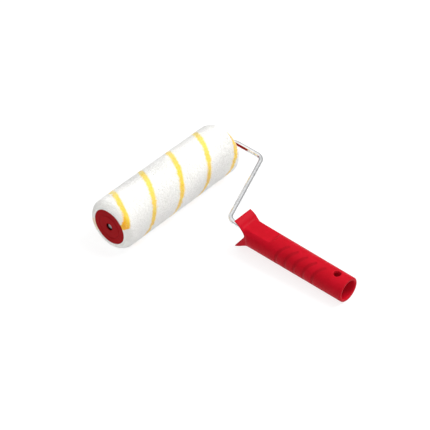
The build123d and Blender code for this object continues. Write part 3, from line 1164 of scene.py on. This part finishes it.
@dataclass
class WireFrame:
    """One round wire: the axle, the leg past the roller and the tang in the handle."""

    arm: Arm
    tip_x: float
    corner_x: float
    radius: float = 3.5 * MM
    bend_radius: float = 14.0 * MM
    shoulder_y: float = -57.5 * MM
    neck_y: float = -105.0 * MM
    handle_x: float = 4.0 * MM
    tang_end_y: float = -190.0 * MM
    tip_chamfer: float = 0.6 * MM
    segments: int = 40
    bend_steps: int = 26
    straight_step: float = 2.5 * MM
    finish: WireFinish = field(default_factory=WireFinish)

    def centre_line(self) -> np.ndarray:
        """Middle of the wire, on the arm's axes.

        Returns:
            Points along it, closely spaced round the bends.
        """
        corners = np.array([
            (self.tip_x, 0.0),
            (self.corner_x, 0.0),
            (self.corner_x, self.shoulder_y),
            (self.handle_x, self.neck_y),
            (self.handle_x, self.tang_end_y),
        ])
        line: list[np.ndarray] = [corners[0]]
        for before, here, after in zip(corners, corners[1:], corners[2:]):
            back, on = before - here, after - here
            back, on = back / np.linalg.norm(back), on / np.linalg.norm(on)
            half = math.acos(float(back @ on)) / 2
            reach = self.bend_radius / math.tan(half)
            middle = here + (back + on) / np.linalg.norm(back + on) * self.bend_radius / math.sin(half)
            first, last = here + back * reach - middle, here + on * reach - middle
            turn = math.atan2(first[0] * last[1] - first[1] * last[0], float(first @ last))
            for step in range(self.bend_steps + 1):
                angle = turn * step / self.bend_steps
                cosine, sine = math.cos(angle), math.sin(angle)
                line.append(middle + np.array(
                    [first[0] * cosine - first[1] * sine, first[0] * sine + first[1] * cosine]
                ))
        line.append(corners[-1])
        dense: list[np.ndarray] = []
        for point, following in zip(line, line[1:]):
            parts = max(1, math.ceil(float(np.linalg.norm(following - point)) / self.straight_step))
            dense.extend(point + (following - point) * part / parts for part in range(parts))
        dense.append(line[-1])
        return np.array(dense)

    def build(self) -> None:
        """Sweep, dress and register the wire."""
        line = self.centre_line()
        along = np.concatenate([[0], np.cumsum(np.linalg.norm(np.diff(line, axis=0), axis=1))])
        ends = [0.0, self.tip_chamfer * 0.4, self.tip_chamfer]
        extra = np.array(ends + [along[-1] - end for end in ends])
        places = np.unique(np.concatenate([along, extra]))
        centre = np.stack([np.interp(places, along, line[:, axis]) for axis in (0, 1)], axis=-1)
        heading = np.gradient(centre, places, axis=0)
        heading /= np.linalg.norm(heading, axis=1)[:, None]
        from_end = np.minimum(places, along[-1] - places)
        inset = np.clip(self.tip_chamfer - from_end, 0, None)
        radius = self.radius - inset * np.clip(inset / self.tip_chamfer, 0.6, 1)
        angle = np.arange(self.segments) / self.segments * FULL_TURN
        side = np.stack([-heading[:, 1], heading[:, 0], np.zeros(len(heading))], axis=-1)
        up = np.array([0.0, 0.0, 1.0])
        middle = np.column_stack([centre, np.zeros(len(centre))])
        rings = (
            middle[:, None, :]
            + (radius[:, None] * np.cos(angle))[:, :, None] * side[:, None, :]
            + (radius[:, None] * np.sin(angle))[:, :, None] * up
        )
        rows = len(rings)
        points = np.vstack([rings.reshape(-1, 3), middle[:1], middle[-1:]])
        walls = grid_faces(rows, self.segments, False, True)
        step = np.arange(self.segments)
        following = (step + 1) % self.segments
        start_hub, end_hub = rows * self.segments, rows * self.segments + 1
        last = (rows - 1) * self.segments
        start_fan = np.stack([following, step, np.full_like(step, start_hub)], axis=-1)
        end_fan = np.stack([last + step, last + following, np.full_like(step, end_hub)], axis=-1)
        wire = solid("wire", self.arm.place(points), walls, np.vstack([start_fan, end_fan]))
        face_outwards(wire)
        self.add_wire_map(wire, places / self.radius)
        self.finish.dress(wire)
        register(wire, Body.FRAME, Slot.WIRE, "wire_frame")

    def add_wire_map(self, wire: bpy.types.Object, run: np.ndarray) -> None:
        """Map the wire by its angle and its run.

        Args:
            wire: The wire.
            run: Each ring's distance along, in wire radii.
        """
        corner = np.zeros(len(wire.data.loops), dtype=np.int32)
        wire.data.loops.foreach_get("vertex_index", corner)
        ring = np.minimum(corner // self.segments, len(run) - 1)
        ring = np.where(corner == len(run) * self.segments, 0, ring)
        turn = (corner % self.segments) / self.segments
        mirrored = 1 - np.abs(2 * turn - 1)
        corner_map(wire, "wire_map", np.stack([mirrored, run[ring] * 0.02], axis=-1))


@dataclass
class Handle:
    """Moulded handle: tapered tube, guard with two wings, grip grooves and socket."""

    arm: Arm
    finish: PlasticFinish
    axis_x: float = 4.0 * MM
    tube_start_y: float = -139.0 * MM
    tube_end_y: float = -301.5 * MM
    tube_start_radius: float = 17.9 * MM
    tube_end_radius: float = 17.15 * MM
    grip_start_y: float = -190.0 * MM
    grip_end_y: float = -276.0 * MM
    grip_fade: float = 1.0 * MM
    # Depths below the tube's outside: where the inner wall's painted light begins, and over which the
    # grooves' painted shade deepens.
    inside_from: float = 1.2 * MM
    recess_shade_depth: float = 0.6 * MM
    voxel: float = 0.63 * MM
    fillet: float = 5.0 * MM
    fillet_from_y: float = -157.0 * MM
    fillet_fade: float = 5.0 * MM
    blur_passes: int = 1
    passes: int = 2
    smoothing: float = 0.5

    def level_set(self, points: np.ndarray, reach: float, **faces: np.ndarray) -> vdb.FloatGrid:
        """Distance field round a closed mesh.

        Args:
            points: The mesh's points, on the arm's axes.
            reach: How far from the surface it has to hold.
            faces: Its triangles or quads.

        Returns:
            The field.
        """
        return vdb.FloatGrid.createLevelSetFromPolygons(
            points.astype(np.float32),
            transform=vdb.createLinearTransform(voxelSize=self.voxel),
            halfWidth=reach / self.voxel + 3,
            **{name: rows.astype(np.uint32) for name, rows in faces.items()},
        )

    def packed_shape(self) -> tuple[np.ndarray, np.ndarray]:
        """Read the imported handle.

        Returns:
            Its points, on the arm's axes, and its triangles.
        """
        mesh = frame["nodes"]["handle_body"].data
        mesh.calc_loop_triangles()
        points = np.zeros(len(mesh.vertices) * 3)
        mesh.vertices.foreach_get("co", points)
        triangles = np.zeros(len(mesh.loop_triangles) * 3, dtype=np.int32)
        mesh.loop_triangles.foreach_get("vertices", triangles)
        return self.arm.read(points.reshape(-1, 3)), triangles.reshape(-1, 3)

    def mould(self) -> tuple[np.ndarray, np.ndarray]:
        """Blend the wings into the tube and round the edges.

        Returns:
            The moulded shape's points, on the arm's axes, and its faces.
        """
        points, triangles = self.packed_shape()
        sharp = self.level_set(points, self.fillet, triangles=triangles)
        margin = math.ceil(self.fillet / self.voxel) + 4
        low = np.floor(points.min(axis=0) / self.voxel).astype(int) - margin
        high = np.ceil(points.max(axis=0) / self.voxel).astype(int) + margin
        field_now, field_filled = (np.zeros(high - low, dtype=np.float32) for _ in range(2))
        sharp.copyToArray(field_now, ijk=tuple(int(value) for value in low))
        swollen, quads = sharp.convertToQuads(isovalue=self.fillet)
        grown = self.level_set(swollen, self.fillet, quads=quads)
        grown.copyToArray(field_filled, ijk=tuple(int(value) for value in low))
        field_filled += self.fillet
        y = np.arange(low[1], high[1]) * self.voxel
        share = np.clip((y - self.fillet_from_y) / self.fillet_fade, 0, 1)[None, :, None]
        shape = field_now + (np.minimum(field_filled, field_now) - field_now) * share
        for _ in range(self.blur_passes):
            for axis in range(3):
                shape = (np.roll(shape, 1, axis) + 2 * shape + np.roll(shape, -1, axis)) / 4
        moulded = vdb.FloatGrid()
        moulded.transform = vdb.createLinearTransform(voxelSize=self.voxel)
        moulded.background = float(self.fillet)
        moulded.copyFromArray(shape.astype(np.float32), ijk=tuple(int(value) for value in low))
        return moulded.convertToQuads(isovalue=0.0)

    def mark_depths(self, handle: bpy.types.Object) -> None:
        """Mark the grooves' floors for painted shade and the tube's inner wall for painted light.

        Args:
            handle: The handle.
        """
        points = np.zeros(len(handle.data.vertices) * 3)
        handle.data.vertices.foreach_get("co", points)
        x, y, z = self.arm.read(points.reshape(-1, 3)).T
        run = (y - self.tube_start_y) / (self.tube_end_y - self.tube_start_y)
        radius = self.tube_start_radius + run * (self.tube_end_radius - self.tube_start_radius)
        depth = radius - np.hypot(x - self.axis_x, z)
        past_flat = np.clip((self.grip_start_y - y) / self.grip_fade, 0, 1)
        inside = np.clip((depth - self.inside_from) / self.grip_fade, 0, 1) * past_flat
        # Painted shade on the grooves' floors, deeper further below the tube's outside.
        sunk = np.clip(depth / self.recess_shade_depth, 0, 1) * past_flat * (y > self.grip_end_y) * (1 - inside)
        point_mark(handle, "sunk", sunk)
        point_mark(handle, "inside", inside)

    def build(self) -> None:
        """Mould, smooth, mark, dress and register the handle."""
        points, quads = self.mould()
        handle = solid("handle", self.arm.place(points.astype(float)), quads.astype(np.int32))
        face_outwards(handle)
        evenly = handle.modifiers.new("evenly", "SMOOTH")
        evenly.factor, evenly.iterations = self.smoothing, self.passes
        settle(handle)
        handle.data.shade_smooth()
        self.mark_depths(handle)
        self.finish.dress(handle)
        register(handle, Body.FRAME, Slot.HANDLE, "handle_body")


# ------------------------------------------------------------------ the studio


def outward(turn: float, rise: float) -> Vector:
    """Direction from the object towards a light or the camera.

    Args:
        turn: Its azimuth, in radians.
        rise: Its elevation, in radians.

    Returns:
        The direction, of length 1.
    """
    level = math.cos(rise)
    return Vector((math.sin(turn) * level, -math.cos(turn) * level, math.sin(rise)))


@dataclass(frozen=True)
class SoftBox:
    """A square area light aimed at the middle of the object."""

    name: str
    azimuth: float
    elevation: float
    distance: float
    size: float
    power: float

    def hang(self, target: Vector) -> None:
        """Place the light.

        Args:
            target: The point that it faces.
        """
        back = outward(math.radians(self.azimuth), math.radians(self.elevation))
        lamp = bpy.data.lights.new(self.name, "AREA")
        lamp.shape, lamp.size, lamp.energy = "SQUARE", self.size, self.power
        holder = bpy.data.objects.new(self.name, lamp)
        holder.location = target + back * self.distance
        holder.rotation_mode = "QUATERNION"
        holder.rotation_quaternion = back.to_track_quat("Z", "Y")
        bpy.context.scene.collection.objects.link(holder)
        LOG.info("%s light", self.name)


@dataclass
class Studio:
    """Pale floor, soft lights, white surroundings and the camera."""

    floor_half_size: float = 4.0
    floor_cells: int = 24
    horizon_glow: float = 0.05
    zenith_glow: float = 1.2
    azimuth: float = -45.933
    elevation: float = 39.502
    roll: float = -3.630
    distance: float = 2.2455
    lens: float = 146.10
    sensor: float = 36.0
    aim_shift: tuple[float, float, float] = (-16.41 * MM, 42.42 * MM, 0.0)
    lights: tuple[SoftBox, ...] = (
        SoftBox("key", azimuth=50.0, elevation=58.0, distance=1.9, size=0.9, power=28.0),
        SoftBox("fill", azimuth=-46.0, elevation=47.0, distance=2.6, size=1.5, power=7.0),
    )
    paper: PaperFinish = field(default_factory=PaperFinish)

    def lay_floor(self) -> None:
        """Lay the floor as a finely divided sheet."""
        cells = self.floor_cells
        side = np.linspace(-self.floor_half_size, self.floor_half_size, cells)
        x, y = np.meshgrid(side, side)
        points = np.stack([x.ravel(), y.ravel(), np.zeros(cells * cells)], axis=-1)
        floor = solid("floor", points, grid_faces(cells, cells, False, False))
        self.paper.dress(floor)

    def set_surroundings(self) -> None:
        """White surroundings, and colours shown as they are."""
        world = bpy.data.worlds.new("surroundings")
        world.use_nodes = True
        glow = world.node_tree.nodes["Background"]
        tree = world.node_tree
        heading = tree.nodes.new("ShaderNodeTexCoord")
        split = tree.nodes.new("ShaderNodeSeparateXYZ")
        grade = tree.nodes.new("ShaderNodeMapRange")
        grade.inputs["To Min"].default_value = self.horizon_glow
        grade.inputs["To Max"].default_value = self.zenith_glow
        glow.inputs["Color"].default_value = shade(1.0, 1.0, 1.0)
        tree.links.new(heading.outputs["Generated"], split.inputs[0])
        tree.links.new(split.outputs["Z"], grade.inputs["Value"])
        tree.links.new(grade.outputs[0], glow.inputs["Strength"])
        bpy.context.scene.world = world
        bpy.context.scene.view_settings.view_transform = "Standard"

    def set_camera(self, target: Vector) -> None:
        """Aim the camera.

        Args:
            target: The middle of the object.
        """
        turn, rise, roll = (math.radians(value) for value in (self.azimuth, self.elevation, self.roll))
        back = outward(turn, rise)
        level = Vector((math.cos(turn), math.sin(turn), 0.0))
        upright = back.cross(level)
        right = level * math.cos(roll) + upright * math.sin(roll)
        up = upright * math.cos(roll) - level * math.sin(roll)
        lens = bpy.data.cameras.new("camera")
        lens.sensor_width, lens.lens = self.sensor, self.lens
        lens.clip_start, lens.clip_end = 0.05, 50.0
        camera = bpy.data.objects.new("camera", lens)
        bpy.context.scene.collection.objects.link(camera)
        place = Matrix((right, up, back)).transposed().to_4x4()
        place.translation = target + Vector(self.aim_shift) + back * self.distance
        camera.matrix_world = place
        bpy.context.scene.camera = camera

    def build(self) -> None:
        """Set up the whole studio."""
        low, high = CAD_BOX
        target = (Vector(low) + Vector(high)) / 2
        self.lay_floor()
        self.set_surroundings()
        self.set_camera(target)
        for light in self.lights:
            light.hang(target)


def dress_small_parts() -> None:
    """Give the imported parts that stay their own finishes."""
    nodes = frame["nodes"]
    bush = PlasticFinish(
        "nylon_bush", shade(0.72, 0.71, 0.66), shade(0.66, 0.65, 0.6), shade(0.8, 0.79, 0.75)
    )
    core = PlasticFinish(
        "grey_core", shade(0.55, 0.55, 0.53), shade(0.5, 0.5, 0.48), shade(0.62, 0.62, 0.6)
    )
    spring = SteelFinish("blued_steel", shade(0.1, 0.1, 0.1), shade(0.04, 0.04, 0.045))
    washer = SteelFinish("plain_steel", shade(0.62, 0.62, 0.63), shade(0.4, 0.4, 0.42))
    bush.dress(nodes["outer_bush"], nodes["inner_bush"])
    core.dress(nodes["core_tube"])
    spring.dress(nodes["push_nut"], nodes["stop_collar"])
    washer.dress(nodes["outer_washer"], nodes["inner_washer"])
    LOG.info("small parts dressed")


def main() -> None:
    """Build the studio and every piece."""
    logging.basicConfig(level=logging.INFO, format="%(name)s: %(message)s", stream=sys.stdout)
    arm = Arm.from_record(frame["record"])
    pile_low, pile_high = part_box("pile_sleeve")
    cap_low, cap_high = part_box("outer_end_cap")
    wire_low, wire_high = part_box("wire_frame")
    Studio().build()
    PileSleeve(arm, pile_low[0], pile_high[0], (pile_high[2] - pile_low[2]) / 2).build()
    # The cap's darkest colour is painted shade deep in its bore.
    cap_red = PlasticFinish(
        "moulded_cap",
        shade(0.31, 0.004, 0.007), shade(0.28, 0.0035, 0.006), shade(0.36, 0.012, 0.015),
        sunk=shade(0.03, 0.001, 0.001), gloss=0.5, mirror=0.03,
    )
    for end, face in ((End.OUTER, pile_low[0]), (End.INNER, pile_high[0])):
        EndCap(arm, end, face, (cap_high[2] - cap_low[2]) / 2, cap_red).build()
    wire_radius = WireFrame.radius
    WireFrame(
        arm,
        tip_x=wire_low[0] - arm.origin[0],
        corner_x=wire_high[0] - arm.origin[0] - wire_radius,
    ).build()
    normal = tuple(float(value) for value in arm.axes[2])
    handle_red = PlasticFinish(
        "moulded_handle",
        shade(0.46, 0.0035, 0.014), shade(0.42, 0.003, 0.011), shade(0.50, 0.015, 0.03),
        seam_normal=normal, seam_offset=float(arm.origin @ arm.axes[2]),
    )
    Handle(arm, handle_red).build()
    dress_small_parts()


if __name__ == "__main__":
    main()
